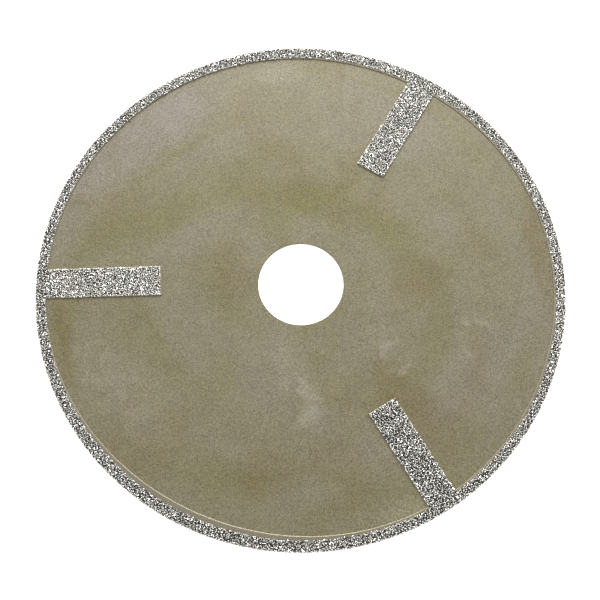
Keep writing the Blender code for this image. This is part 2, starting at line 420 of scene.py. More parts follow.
@dataclass(frozen=True)
class SatinCore:
    """Olive satin plating of the core, with wipe arcs, dried drops, broad stains, fine grain and fine
    specks whose bright dots are a painted sparkle.
    """

    face_height: float
    bore_radius: float
    plating: Colour = rgb(0.1405, 0.1255, 0.0775)
    bare_steel: Colour = rgb(0.80, 0.79, 0.75)
    metal: float = 0.34
    roughness: Span = (0.43, 0.48)
    wipes: Pattern = Pattern(11 * MM, 2.5, 0.45, 0.6)
    stains: Pattern = Pattern(22 * MM, 3.0, 0.5, 0.8)
    clouds: Pattern = Pattern(5 * MM, 4.0, 0.6, 0.4)
    grain: Pattern = Pattern(0.36 * MM, 3.0, 0.75)
    # Fine specks, partly the plating's own grain and partly a painted sparkle of bright dots
    sparkle_specks: Pattern = Pattern(0.17 * MM, 1.0, 0.5)
    wipe_turn: float = 14 * MM
    warp: float = 7 * MM
    side_stretch: float = 40.0
    patch_span: Span = (0.48, 0.70)
    milky_span: Span = (0.50, 0.28)
    stain_share: float = 0.5
    wipe_share: float = 0.6
    milky_share: float = 0.5
    cloud_swing: float = 0.035
    grain_span: Span = (0.2, 0.8)
    grain_shades: Span = (0.48, 1.52)
    sparkle_speck_span: Span = (0.25, 0.8)
    sparkle_speck_shades: Span = (-0.26, 0.40)
    gloss_swing: float = 0.03
    grain_depth: float = 0.02 * MM
    grain_strength: float = 0.6
    bare_edge: float = 0.03 * MM
    mark_depth: float = 0.4 * MM
    ring_radius: float = 0.9
    ring_width: float = 0.35
    ring_breaks: tuple[float, ...] = (0.42, 0.58, 0.1, 1.1)
    patch_fade: Span = (0.2, 1.2)
    patch_breaks: tuple[float, ...] = (0.3, 0.6, 0.65, 1.2)
    marks: tuple[Mark, ...] = (
        Mark(Tint.PALE, 2.5, -28.0, 3.4, 8.0, 8.0, 0.80),
        Mark(Tint.PALE, -3.0, -18.0, 5.0, 11.0, 14.0, 0.35),
        Mark(Tint.PALE, 22.7, -17.0, 3.4, 4.2, 20.0, 0.60, True),
        Mark(Tint.PALE, 41.0, -12.5, 4.6, 5.0, 0.0, 0.65, True),
        Mark(Tint.PALE, -46.6, -17.0, 2.6, 3.0, 0.0, 0.35, True),
        Mark(Tint.PALE, -6.5, 55.0, 9.0, 3.0, 6.0, 0.50),
        Mark(Tint.PALE, 24.0, -53.0, 9.0, 4.0, 24.0, 0.65),
        Mark(Tint.PALE, -38.0, -28.0, 15.0, 9.0, -40.0, 0.35),
        Mark(Tint.MILKY, -38.0, 38.0, 30.0, 8.0, 42.0, 0.90),
        Mark(Tint.MILKY, 40.0, -25.0, 16.0, 12.0, 0.0, 0.45),
        Mark(Tint.MILKY, 18.0, 44.0, 26.0, 10.0, -24.0, 0.40),
        Mark(Tint.OLIVE, -34.0, 16.0, 24.0, 6.0, 24.0, 0.85),
        Mark(Tint.OLIVE, -2.0, 22.0, 20.0, 6.0, -4.0, 0.90),
        Mark(Tint.OLIVE, 22.0, 12.0, 14.0, 6.0, -50.0, 0.80),
        Mark(Tint.OLIVE, -20.0, -46.0, 16.0, 7.0, -30.0, 0.50),
        Mark(Tint.BROWN, 28.0, 2.0, 8.0, 7.0, 0.0, 0.75),
        Mark(Tint.BROWN, 24.0, -27.0, 16.0, 6.0, -50.0, 0.85),
        Mark(Tint.BROWN, -7.0, -46.0, 9.0, 7.0, 0.0, 0.75),
        Mark(Tint.BROWN, -17.0, 4.0, 5.0, 10.0, 0.0, 0.50),
        Mark(Tint.BROWN, 56.0, 10.0, 3.0, 16.0, 8.0, 0.75),
        Mark(Tint.BROWN, -55.0, -15.0, 3.0, 14.0, 14.0, 0.80),
    )

    def material(self) -> Material:
        """Builds the finish.

        Returns:
            The material, whose broad patterns differ on the two faces.
        """
        t = NodeTree.for_material("satin_core")
        where = t.places((1.0, 1.0, self.side_stretch))
        clouds, stains, grain, sparkle_specks = (
            t.noise(where, pattern)
            for pattern in (self.clouds, self.stains, self.grain, self.sparkle_specks)
        )
        wipes = t.noise(self.wipe_arcs(t, where), self.wipes)
        colour = self.plating
        for pattern, span, share, tint in (
            (stains, self.patch_span, self.stain_share, Tint.BROWN),
            (wipes, self.patch_span, self.wipe_share, Tint.OLIVE),
            (wipes, self.milky_span, self.milky_share, Tint.MILKY),
        ):
            colour = t.mix(t.remap(pattern, *span, 0.0, share), colour, tint.value, "MULTIPLY")
        warped = self.warped(t, clouds)
        for mark in self.marks:
            mask = self.mark_mask(t, warped, clouds, mark)
            colour = t.mix(mask, colour, mark.tint.value, "MULTIPLY")
        shade = t.remap(clouds, *MIDDLE, -self.cloud_swing, self.cloud_swing)
        shade = t.math("ADD", shade, t.remap(grain, *self.grain_span, *self.grain_shades))
        # Fine specks: partly grain, partly a painted sparkle of bright dots on the plating
        shade = t.math("ADD", shade, t.remap(sparkle_specks, *self.sparkle_speck_span, *self.sparkle_speck_shades))
        colour = t.mix(1.0, colour, self.grey(t, shade), "MULTIPLY")
        colour = t.mix(self.bore_mask(t), colour, self.bare_steel)
        gloss = t.remap(clouds, *MIDDLE, *self.roughness)
        gloss_grain = t.remap(grain, *MIDDLE, -self.gloss_swing, self.gloss_swing)
        t.shade(
            Base_Color=colour,
            Metallic=self.metal,
            Roughness=t.math("ADD", gloss, gloss_grain),
            Normal=t.bump(grain, self.grain_depth, self.grain_strength),
        )
        return t.owner

    def bore_mask(self, t: NodeTree) -> Socket:
        """Where the bore's wall was cut after plating and is bare steel."""
        radius = t.vector("LENGTH", t.places((1.0, 1.0, 0.0)))
        return t.remap(radius, self.bore_radius, self.bore_radius + self.bare_edge, 1.0, 0.0)

    def wipe_arcs(self, t: NodeTree, where: Socket) -> Socket:
        """Places drawn out round the wheel, so that noise over them runs in arcs."""
        flat = t.vector("MULTIPLY", where, (1.0, 1.0, 0.0))
        turned = t.vector("MULTIPLY", t.vector("NORMALIZE", flat), (self.wipe_turn,) * 3)
        rise = t.math("ADD", t.vector("LENGTH", flat), t.axis(where, "Z"))
        return t.vector("ADD", turned, t.point(z=rise))

    def warped(self, t: NodeTree, clouds: Socket) -> Socket:
        """Places pushed about by the clouds, which makes the marks' outlines ragged."""
        push = t.math("MULTIPLY", t.math("SUBTRACT", clouds, 0.5), self.warp)
        return t.vector("ADD", t.places((1.0, 1.0, 1.0)), t.point(x=push, y=push))

    def mark_mask(self, t: NodeTree, warped: Socket, clouds: Socket, mark: Mark) -> Socket:
        """How strongly a mark covers each point of the front face.

        Args:
            t: The finish's nodes.
            warped: The places to measure from.
            clouds: The noise that breaks the mark up.
            mark: The mark.

        Returns:
            The mark's share of the colour.
        """
        inputs = {
            "Vector": warped,
            "Location": (mark.x_mm * MM, mark.y_mm * MM, self.face_height),
            "Rotation": (0.0, 0.0, math.radians(mark.turn)),
            "Scale": (mark.length_mm * MM, mark.width_mm * MM, self.mark_depth),
        }
        local = t.add("Mapping", inputs, vector_type="TEXTURE").outputs["Vector"]
        distance = t.vector("LENGTH", local)
        if mark.ring:
            distance = t.math("ABSOLUTE", t.math("SUBTRACT", distance, self.ring_radius))
        fade = (0.0, self.ring_width) if mark.ring else self.patch_fade
        mask = t.remap(distance, *fade, mark.strength, 0.0)
        breaks = self.ring_breaks if mark.ring else self.patch_breaks
        return t.math("MULTIPLY", mask, t.remap(clouds, *breaks))

    @staticmethod
    def grey(t: NodeTree, value: Socket) -> Socket:
        """A value as a grey colour."""
        return t.add("CombineColor", {0: value, 1: value, 2: value}).outputs["Color"]


@dataclass(frozen=True)
class NickelPlating:
    """Satin nickel of the bond, with painted shade: near black in the crevices between and under the
    crystals.
    """

    bright: Colour = rgb(0.34, 0.315, 0.24)
    olive: Colour = rgb(0.22, 0.195, 0.13)
    # Near black, painted as shade in the crevices between and under the crystals; a share of it greys
    # the bare lip
    crevice_shade_and_lip_grey: Colour = rgb(0.026, 0.025, 0.022)
    grain: Pattern = Pattern(0.25 * MM, 2.0, 0.6)
    metal: float = 0.85
    roughness: Span = (0.30, 0.44)
    grain_depth: float = 0.02 * MM
    grain_strength: float = 0.5

    def material(self) -> Material:
        """Builds the finish, which reads its piece's share of painted crevice shade and lip grey."""
        t = NodeTree.for_material("nickel_plating")
        where = t.places((1.0, 1.0, 3.0))
        grain = t.noise(where, self.grain)
        colour = t.mix(t.remap(grain, *MIDDLE, 0.0, 1.0), self.olive, self.bright)
        # Painted shade: mixed towards near black where the crystals stand, and by a fixed share on the
        # bare lip
        colour = t.mix(t.attribute("crevice_shade_and_lip_grey"), colour, self.crevice_shade_and_lip_grey)
        t.shade(
            Base_Color=colour,
            Metallic=self.metal,
            Roughness=t.remap(grain, *MIDDLE, *self.roughness),
            Normal=t.bump(grain, self.grain_depth, self.grain_strength),
        )
        return t.owner


@dataclass(frozen=True)
class DiamondCrystal:
    """Glassy grey diamond, each crystal with its own tone."""

    dark: Colour = rgb(0.020, 0.020, 0.021)
    middle: Colour = rgb(0.56, 0.54, 0.50)
    light: Colour = rgb(0.98, 0.955, 0.89)
    metal: float = 0.62
    roughness: float = 0.13
    ior: float = 1.9
    flaws: Pattern = Pattern(0.15 * MM, 2.0, 0.6)
    flaw_swing: float = 0.08

    def material(self) -> Material:
        """Builds the finish, which reads the tone attribute of its piece."""
        t = NodeTree.for_material("diamond_crystal")
        flaws = t.noise(t.places((1.0, 1.0, 1.0)), self.flaws)
        flaws = t.remap(flaws, *MIDDLE, -self.flaw_swing, self.flaw_swing)
        tone = t.math("ADD", t.attribute("tone"), flaws)
        ramp = t.add("ValToRGB", {"Fac": tone})
        ramp.color_ramp.elements[0].color = self.dark
        ramp.color_ramp.elements[1].color = self.light
        ramp.color_ramp.elements.new(0.5).color = self.middle
        t.shade(
            Base_Color=ramp.outputs["Color"],
            Metallic=self.metal,
            Roughness=self.roughness,
            IOR=self.ior,
        )
        return t.owner


# ---- Core ----


@dataclass
class Core:
    """The steel core: a flat disc with a softly chamfered bore."""

    sizes: WheelSizes
    segments: int = 720
    chamfer_steps: int = 4
    support_gap: float = 0.03 * MM
    face_rings: int = 10
    map_centres: Span = (0.295, 0.705)
    map_reach: float = 0.285
    map_wall_start: float = 0.60
    map_wall_length: float = 0.38
    map_wall_height: float = 0.03
    map_wall_levels: Span = (0.08, 0.02)

    def profile(self) -> list[tuple[float, float]]:
        """The section's (radius, height) points, from mid-bore up, out and back underneath."""
        s = self.sizes
        upper = [(s.bore_radius, s.core_half - s.bore_chamfer)]
        for step in range(1, self.chamfer_steps + 1):
            angle = math.pi / 2 * step / self.chamfer_steps
            upper.append((
                s.bore_radius + s.bore_chamfer * (1 - math.cos(angle)),
                s.core_half - s.bore_chamfer * (1 - math.sin(angle)),
            ))
        start = s.bore_radius + s.bore_chamfer + self.support_gap
        for ring in range(self.face_rings + 1):
            upper.append((start + (s.core_radius - start) * ring / self.face_rings, s.core_half))
        return upper + [(r, -z) for r, z in reversed(upper)]

    def build(self, finish: Material) -> Piece:
        """Turns the section round the spin axis and dresses it.

        Args:
            finish: The core's material.

        Returns:
            The core piece.
        """
        profile = np.array(self.profile())
        angles = 2 * math.pi * np.arange(self.segments) / self.segments
        points = on_wheel(profile[:, 0], angles[:, None], profile[:, 1]).reshape(-1, 3)
        sweep = Sweep(self.segments, len(profile))
        piece = mesh_piece("core_disc_satin", points, sweep.faces(), self.corner_uv(points, sweep))
        smooth_piece(piece)
        return fit_piece(piece, finish, "core_disc")

    def corner_uv(self, points: np.ndarray, sweep: Sweep) -> np.ndarray:
        """Lays both faces out as discs, and the bore's and the edge's walls as strips.

        Args:
            points: The core's points.
            sweep: How the section was swept.

        Returns:
            One row (u, v) per face corner.
        """
        rings, places = sweep.corners()
        first = places.min(axis=1)
        middle = np.where(first < sweep.count // 2, *self.map_centres)[:, None, None]
        scale = self.map_reach / self.sizes.core_radius
        uv = middle + points[sweep.faces()][..., :2] * scale
        for last, level in zip((sweep.count // 2 - 1, sweep.count - 1), self.map_wall_levels):
            wall = first == last
            turn = rings[wall] / sweep.segments
            uv[wall, :, 0] = self.map_wall_start + self.map_wall_length * turn
            uv[wall, :, 1] = level + self.map_wall_height * (places[wall] - last)
        return uv.reshape(-1, 2)


@dataclass(frozen=True)
class Sweep:
    """A closed section of count points, swept round the spin axis in segments steps."""

    segments: int
    count: int

    def corners(self) -> tuple[np.ndarray, np.ndarray]:
        """Ring and section point of every quad's four corners, before either wraps round."""
        rings = np.arange(self.segments)[:, None, None] + np.array([1, 1, 0, 0])
        places = np.arange(self.count)[None, :, None] + np.array([0, 1, 1, 0])
        rings, places = np.broadcast_arrays(rings, places)
        return rings.reshape(-1, 4), places.reshape(-1, 4)

    def faces(self) -> np.ndarray:
        """Vertex numbers of the quads, which face out if the section runs up, out and back."""
        rings, places = self.corners()
        return (rings % self.segments) * self.count + places % self.count


def smooth_piece(piece: Piece, angle: float = math.radians(40)) -> None:
    """Shades a piece smooth, with sharp edges where it turns by more than the angle."""
    piece.data.shade_smooth()
    piece.data.set_sharp_from_angle(angle=angle)


# ---- Nickel bond ----


@dataclass(frozen=True)
class Wave:
    """A wave round a masked edge: how many lobes it has, how deep, and where one of them is."""

    lobes: int
    depth: float
    degrees: float

    def at(self, azimuth: np.ndarray) -> np.ndarray:
        """The wave's share of the radius at each azimuth."""
        return self.depth * np.cos(self.lobes * (azimuth - math.radians(self.degrees)))


@dataclass(frozen=True)
class MaskLine:
    """An edge of the rim's plating or grit, which hand masking left out of true."""

    radius: float
    waves: tuple[Wave, ...]
    ripple: float = 0.02 * MM

    def at(self, azimuth: np.ndarray) -> np.ndarray:
        """The line's radius at each azimuth."""
        ripple = self.ripple * (np.sin(37 * azimuth) * 0.6 + np.sin(83 * azimuth + 1.0) * 0.4)
        return self.radius + ripple + sum(wave.at(azimuth) for wave in self.waves)


@dataclass
class Plating:
    """Heights and edges that the rim's and the strips' plating share."""

    sizes: WheelSizes
    height: float = 0.21 * MM
    edge_run: float = 0.12 * MM
    burial: float = 0.02 * MM
    lump_height: float = 0.05 * MM
    lump_size: float = 0.5 * MM
    # Share of the near-black painted-shade colour that greys the plating's bare top
    lip_grey: float = 0.32

    @property
    def top(self) -> float:
        """Height of the plating's surface above mid-thickness."""
        return self.sizes.core_half + self.height

    def lumps(self, points: np.ndarray) -> np.ndarray:
        """How far the surface is raised or sunk at each point."""
        scaled = points / self.lump_size
        return self.lump_height * np.array([noise.noise(Vector(p)) for p in scaled.tolist()])


@dataclass
class RimBond:
    """The nickel channel that wraps the core's edge, with rounded inner edges on both faces."""

    plating: Plating
    lines: dict[Face, MaskLine]
    grit_starts: dict[Face, MaskLine]
    strips: list[StripPlace]
    segments: int = 1440
    edge_steps: int = 6
    flat_steps: int = 12
    corner_steps: int = 4
    wall_steps: int = 5
    corner_radius: float = 0.32 * MM
    grit_depth: float = 0.27 * MM
    edge_lumps: float = 0.25
    bed_fade: float = 0.15 * MM
    bed_lead: float = 1.2
    strip_fade: float = 0.20 * MM
    map_rows: int = 8
    map_end_margin: float = 0.005

    def build(self, finish: Material) -> Piece:
        """Sweeps the channel's section round the wheel, edge by edge.

        Args:
            finish: The nickel's material.

        Returns:
            The channel piece.
        """
        azimuth = 2 * math.pi * np.arange(self.segments) / self.segments
        halves = [self.half_section(azimuth, face) for face in Face]
        radius, height, lump, crevice_shade_and_lip_grey = (
            np.concatenate([front, back[:, ::-1]], axis=1) for front, back in zip(*halves)
        )
        height[:, height.shape[1] // 2 :] *= -1
        points = on_wheel(radius, azimuth[:, None], height)
        normals = np.gradient(np.stack([radius, height], axis=-1), axis=1)
        length = np.hypot(normals[..., 0], normals[..., 1]) + TINY
        out_r, out_z = -normals[..., 1] / length, normals[..., 0] / length
        raised = self.plating.lumps(points.reshape(-1, 3)).reshape(radius.shape) * lump
        points += on_wheel(raised * out_r, azimuth[:, None], raised * out_z)
        sweep = Sweep(self.segments, radius.shape[1])
        piece = mesh_piece(
            "rim_bond_plating", points.reshape(-1, 3), sweep.faces(), self.corner_uv(sweep)
        )
        point_values(piece, "crevice_shade_and_lip_grey", crevice_shade_and_lip_grey.ravel())
        smooth_piece(piece)
        return fit_piece(piece, finish, "rim_bond")

    def corner_uv(self, sweep: Sweep) -> np.ndarray:
        """Lays the channel out flat, cut into a few lengths one above another."""
        rings, places = sweep.corners()
        length = sweep.segments // self.map_rows
        row = rings.min(axis=1, keepdims=True) // length
        u = inset((rings - row * length) / length, self.map_end_margin)
        v = (row + inset(places / sweep.count)) / self.map_rows
        return np.stack([u, v], axis=-1).reshape(-1, 2)

    def half_section(
        self, azimuth: np.ndarray, face: Face
    ) -> tuple[np.ndarray, np.ndarray, np.ndarray, np.ndarray]:
        """One face's half of the section at every azimuth.

        Args:
            azimuth: The places round the wheel.
            face: The face.

        Returns:
            Radius, height, share of the lumps and share of the near-black colour of painted crevice
            shade (a fixed share on the bare lip), each with a row per azimuth and a column per point,
            from the core's edge in, over the plating and out.
        """
        p, s = self.plating, self.plating.sizes
        line, start = self.lines[face].at(azimuth), self.grit_starts[face].at(azimuth)
        outer = s.wheel_radius - self.grit_depth
        corner = outer - self.corner_radius
        buried = s.core_half - p.burial
        covered = self.under_strips(azimuth, line, face)
        rows: list[tuple[np.ndarray, float, float, float]] = []
        ones = np.ones_like(azimuth)
        rows.append((ones * (s.core_radius - p.burial), 0.0, 0.0, 0.0))
        rows.append((ones * (s.core_radius - p.burial), buried, 0.0, 0.0))
        rows.append((line, buried, 0.0, 0.0))
        for step in range(1, self.edge_steps + 1):
            angle = math.pi / 2 * step / self.edge_steps
            rows.append((
                line + p.edge_run * (1 - math.cos(angle)),
                s.core_half + p.height * math.sin(angle),
                self.edge_lumps * step / self.edge_steps,
                covered,
            ))
        shoulder = line + p.edge_run
        for step in range(1, self.flat_steps + 1):
            radius = shoulder + (corner - shoulder) * step / self.flat_steps
            behind_start = (radius - start) / self.bed_fade - self.bed_lead
            inside = np.maximum(covered, np.clip(behind_start, 0.0, 1.0))
            # Painted shade: dark where the crystals stand; the bare lip is greyed by a fixed share
            rows.append((radius, p.top, inside, np.maximum(inside, p.lip_grey)))
        # Under the crystals round the edge the plating is painted fully dark as shade
        for step in range(1, self.corner_steps + 1):
            angle = math.pi / 2 * step / self.corner_steps
            rows.append((
                ones * (corner + self.corner_radius * math.sin(angle)),
                p.top - self.corner_radius * (1 - math.cos(angle)),
                1.0,
                1.0,
            ))
        wall_top = p.top - self.corner_radius
        for step in range(1, self.wall_steps):
            rows.append((ones * outer, wall_top * (1 - step / self.wall_steps), 1.0, 1.0))
        columns = [[np.broadcast_to(value, azimuth.shape) for value in row] for row in rows]
        return tuple(np.stack(parts, axis=1) for parts in zip(*columns))

    def under_strips(self, azimuth: np.ndarray, radius: np.ndarray, face: Face) -> np.ndarray:
        """Where the strips' crystals cover the inner edge, from 0, open, to 1, covered; the plating
        there gets painted shade.
        """
        covered = np.zeros_like(azimuth)
        x, y = radius * np.cos(azimuth), radius * np.sin(azimuth)
        for place in self.strips:
            if place.face is face:
                along = x * place.axis[0] + y * place.axis[1]
                across = y * place.axis[0] - x * place.axis[1] - place.offset
                depth = np.clip((place.half_width - np.abs(across)) / self.strip_fade, 0.0, 1.0)
                covered = np.maximum(covered, np.where(along > 0, depth, 0.0))
        return covered


@dataclass
class StripBond:
    """The raised nickel pad of one strip, rounded on three sides and running in under the rim."""

    plating: Plating
    place: StripPlace
    end_lip: float
    lip: float = 0.03 * MM
    edge_run: float = 0.10 * MM
    step_size: float = 0.28 * MM
    outer_radius: float = 60.4 * MM
    dip: float = 0.05 * MM
    dip_start: float = 1.2 * MM
    dip_run: float = 0.6 * MM
    edge_points: int = 6
    edge_lumps: float = 0.2
    lip_top: float = 0.99
    decimals: int = 9
    bed_fade: float = 0.12 * MM
    map_start: float = 0.05
    map_length: float = 0.9
    map_middles: Span = (0.25, 0.75)
    map_side: Span = (0.08, 0.02)

    def build(self, finish: Material) -> Piece:
        """Raises the pad as a closed block with a lumpy top.

        Args:
            finish: The nickel's material.

        Returns:
            The pad piece.
        """
        p, place = self.plating, self.place
        half = place.half_width + self.lip
        start = place.inner_end - self.end_lip
        rounding = self.edge_run * (1 - np.cos(np.linspace(0, math.pi / 2, self.edge_points)))
        middle = np.arange(self.edge_run + self.step_size, half, self.step_size)
        half_across = np.concatenate([half - rounding, half - middle])
        across = np.unique(np.round(np.concatenate([half_across, -half_across]), self.decimals))
        length = place.reach(np.array([0.0]), self.outer_radius)[0] - start
        inner = np.arange(self.edge_run + self.step_size, length, self.step_size)
        steps = np.concatenate([rounding, inner])
        share = np.append(steps, length) / length
        ends = place.reach(across, self.outer_radius)
        along = start + (ends[None, :] - start) * share[:, None]
        cross = np.broadcast_to(across, along.shape)
        x, y = place.to_wheel(along, cross)
        from_edge = np.minimum(along - start, half - np.abs(cross))
        rise = np.sqrt(np.clip(1 - (1 - np.clip(from_edge / self.edge_run, 0, 1)) ** 2, 0, 1))
        # Painted shade: the pad is near black under and between the crystals, and its flat top is
        # greyed by a fixed share
        covered = np.minimum(along - place.inner_end, place.half_width - np.abs(cross))
        inside = np.clip(covered / self.bed_fade - 1.0, 0, 1)
        crevice_shade_and_lip_grey = np.maximum(inside, np.where(rise > self.lip_top, p.lip_grey, 0.0))
        sign = place.face.value
        surface = p.sizes.core_half + p.height * rise
        flat = np.stack([x, y, surface * sign], axis=-1).reshape(-1, 3)
        lumps = p.lumps(flat).reshape(x.shape) * np.maximum(inside, self.edge_lumps * rise)
        near_rim = np.clip((along - ends + self.dip_start) / self.dip_run, 0, 1)
        surface = surface + lumps - self.dip * near_rim
        bottom = np.full_like(surface, p.sizes.core_half - p.burial)
        rows, columns = x.shape
        points = np.concatenate([
            np.stack([x, y, level * sign], axis=-1).reshape(-1, 3) for level in (surface, bottom)
        ])
        scale = self.map_length / length
        u = self.map_start + (along - start) * scale
        v = np.stack([middle + cross * scale for middle in self.map_middles])
        faces = self.block_faces(rows, columns)
        corner_uv = np.stack([np.stack([u, u]), v], axis=-1).reshape(-1, 2)[faces]
        sides = 2 * (rows + columns - 2)
        turn = (np.arange(sides)[:, None] + np.array([0, 0, 1, 1])) / sides
        upper, lower = self.map_side
        corner_uv[-sides:, :, 0] = inset(turn)
        corner_uv[-sides:, :, 1] = np.array([upper, lower, lower, upper])
        if sign < 0:
            faces, corner_uv = faces[:, ::-1], corner_uv[:, ::-1]
        piece = mesh_piece(
            f"strip_bond_{place.label}_plating", points, faces, corner_uv.reshape(-1, 2)
        )
        point_values(piece, "crevice_shade_and_lip_grey", np.concatenate([crevice_shade_and_lip_grey.ravel(), np.zeros(crevice_shade_and_lip_grey.size)]))
        smooth_piece(piece)
        return fit_piece(piece, finish, f"strip_bond_{place.label}")

    @staticmethod
    def block_faces(rows: int, columns: int) -> np.ndarray:
        """Faces of a block between two grids of rows by columns points, with its sides last."""
        count = rows * columns
        grid = np.arange(count).reshape(rows, columns)
        quads = np.stack([grid[:-1, :-1], grid[1:, :-1], grid[1:, 1:], grid[:-1, 1:]], axis=-1)
        top = quads.reshape(-1, 4)
        border = np.concatenate([grid[:-1, 0], grid[-1, :-1], grid[:0:-1, -1], grid[0, :0:-1]])
        after = np.roll(border, -1)
        sides = np.stack([border, border + count, after + count, after], axis=-1)
        return np.concatenate([top, top[:, ::-1] + count, sides])


# ---- Diamond grit ----


@dataclass
class CrystalBank:
    """Irregular crystal shapes of radius about one, each the hull of a few scattered points."""

    count: int
    rng: np.random.Generator
    corners: tuple[int, int] = (9, 13)
    scatter: float = 0.16
    reach: Span = (0.88, 1.05)
    width: Span = (0.78, 1.0)
    depth: Span = (0.68, 0.95)
    shapes: list[tuple[np.ndarray, np.ndarray]] = field(default_factory=list)

    def __post_init__(self) -> None:
        """Cuts the shapes."""
        self.shapes = [self.cut() for _ in range(self.count)]

    def cut(self) -> tuple[np.ndarray, np.ndarray]:
        """One blocky crystal as its points and its outward triangles."""
        rng = self.rng
        corners = int(rng.integers(*self.corners))
        index = np.arange(corners) + 0.5
        polar = np.arccos(1 - 2 * index / corners)
        azimuth = math.pi * (1 + math.sqrt(5)) * index
        points = on_wheel(np.sin(polar), azimuth, np.cos(polar))
        points += rng.normal(0.0, self.scatter, points.shape)
        points /= np.linalg.norm(points, axis=1)[:, None]
        points *= rng.uniform(*self.reach, (corners, 1))
        points *= np.array([1.0, rng.uniform(*self.width), rng.uniform(*self.depth)])
        bm = bmesh.new()
        for point in points:
            bm.verts.new(point)
        hull = bmesh.ops.convex_hull(bm, input=bm.verts)
        bmesh.ops.delete(bm, geom=hull["geom_interior"], context="VERTS")
        bmesh.ops.recalc_face_normals(bm, faces=bm.faces)
        bm.verts.index_update()
        kept = np.array([v.co[:] for v in bm.verts])
        triangles = np.array([[v.index for v in face.verts] for face in bm.faces])
        bm.free()
        return kept, triangles


def scatter(
    length: float,
    width: float,
    spacing: float,
    rng: np.random.Generator,
    wraps: bool,
    tries_per_square: int = 9,
) -> np.ndarray:
    """Scatters points over a rectangle so that no two are nearer than the spacing.

    Args:
        length: The rectangle's first side.
        width: Its second side.
        spacing: The least distance between two points.
        rng: The source of chance.
        wraps: Whether the ends of the first side meet.
        tries_per_square: How many places are tried for each square of the spacing.

    Returns:
        One row (along, across) per point.
    """
    columns = max(1, int(length / (spacing / math.sqrt(2))))
    cell = length / columns
    tries = int(tries_per_square * length * width / spacing**2)
    candidates = (rng.random((tries, 2)) * (length, width)).tolist()
    taken: dict[tuple[int, int], tuple[float, float]] = {}
    near = [(i, j) for i in range(-2, 3) for j in range(-2, 3)]
    limit = spacing**2
    for along, across in candidates:
        column, row = int(along / cell), int(across / cell)
        free = True
        for i, j in near:
            key = ((column + i) % columns if wraps else column + i, row + j)
            other = taken.get(key)
            if other is None:
                continue
            gap = abs(other[0] - along)
            if wraps:
                gap = min(gap, length - gap)
            if gap * gap + (other[1] - across) ** 2 < limit:
                free = False
                break
        if free:
            taken[(column, row)] = (along, across)
    return np.array(list(taken.values()))


def random_turns(count: int, rng: np.random.Generator) -> np.ndarray:
    """Random rotation matrices, one per row."""
    q = rng.normal(size=(count, 4))
    q /= np.linalg.norm(q, axis=1)[:, None]
    w, x, y, z = q.T
    return np.stack([
        np.stack([1 - 2 * (y * y + z * z), 2 * (x * y - z * w), 2 * (x * z + y * w)], axis=1),
        np.stack([2 * (x * y + z * w), 1 - 2 * (x * x + z * z), 2 * (y * z - x * w)], axis=1),
        np.stack([2 * (x * z - y * w), 2 * (y * z + x * w), 1 - 2 * (x * x + y * y)], axis=1),
    ], axis=1)


@dataclass(frozen=True)
class Bed:
    """Crystals on one bed, each with a row in every array.

    The axes are columns: along, across and out of the bed. The places are on the unrolled bed.
    """

    centres: np.ndarray
    axes: np.ndarray
    radii: np.ndarray
    tones: np.ndarray
    places: np.ndarray

    def picked(self, mine: np.ndarray, shift: float = 0.0) -> Bed:
        """Some of the crystals, with their places moved back along the bed."""
        rows = (self.centres, self.axes, self.radii, self.tones, self.places - (shift, 0.0))
        return Bed(*(row[mine] for row in rows))


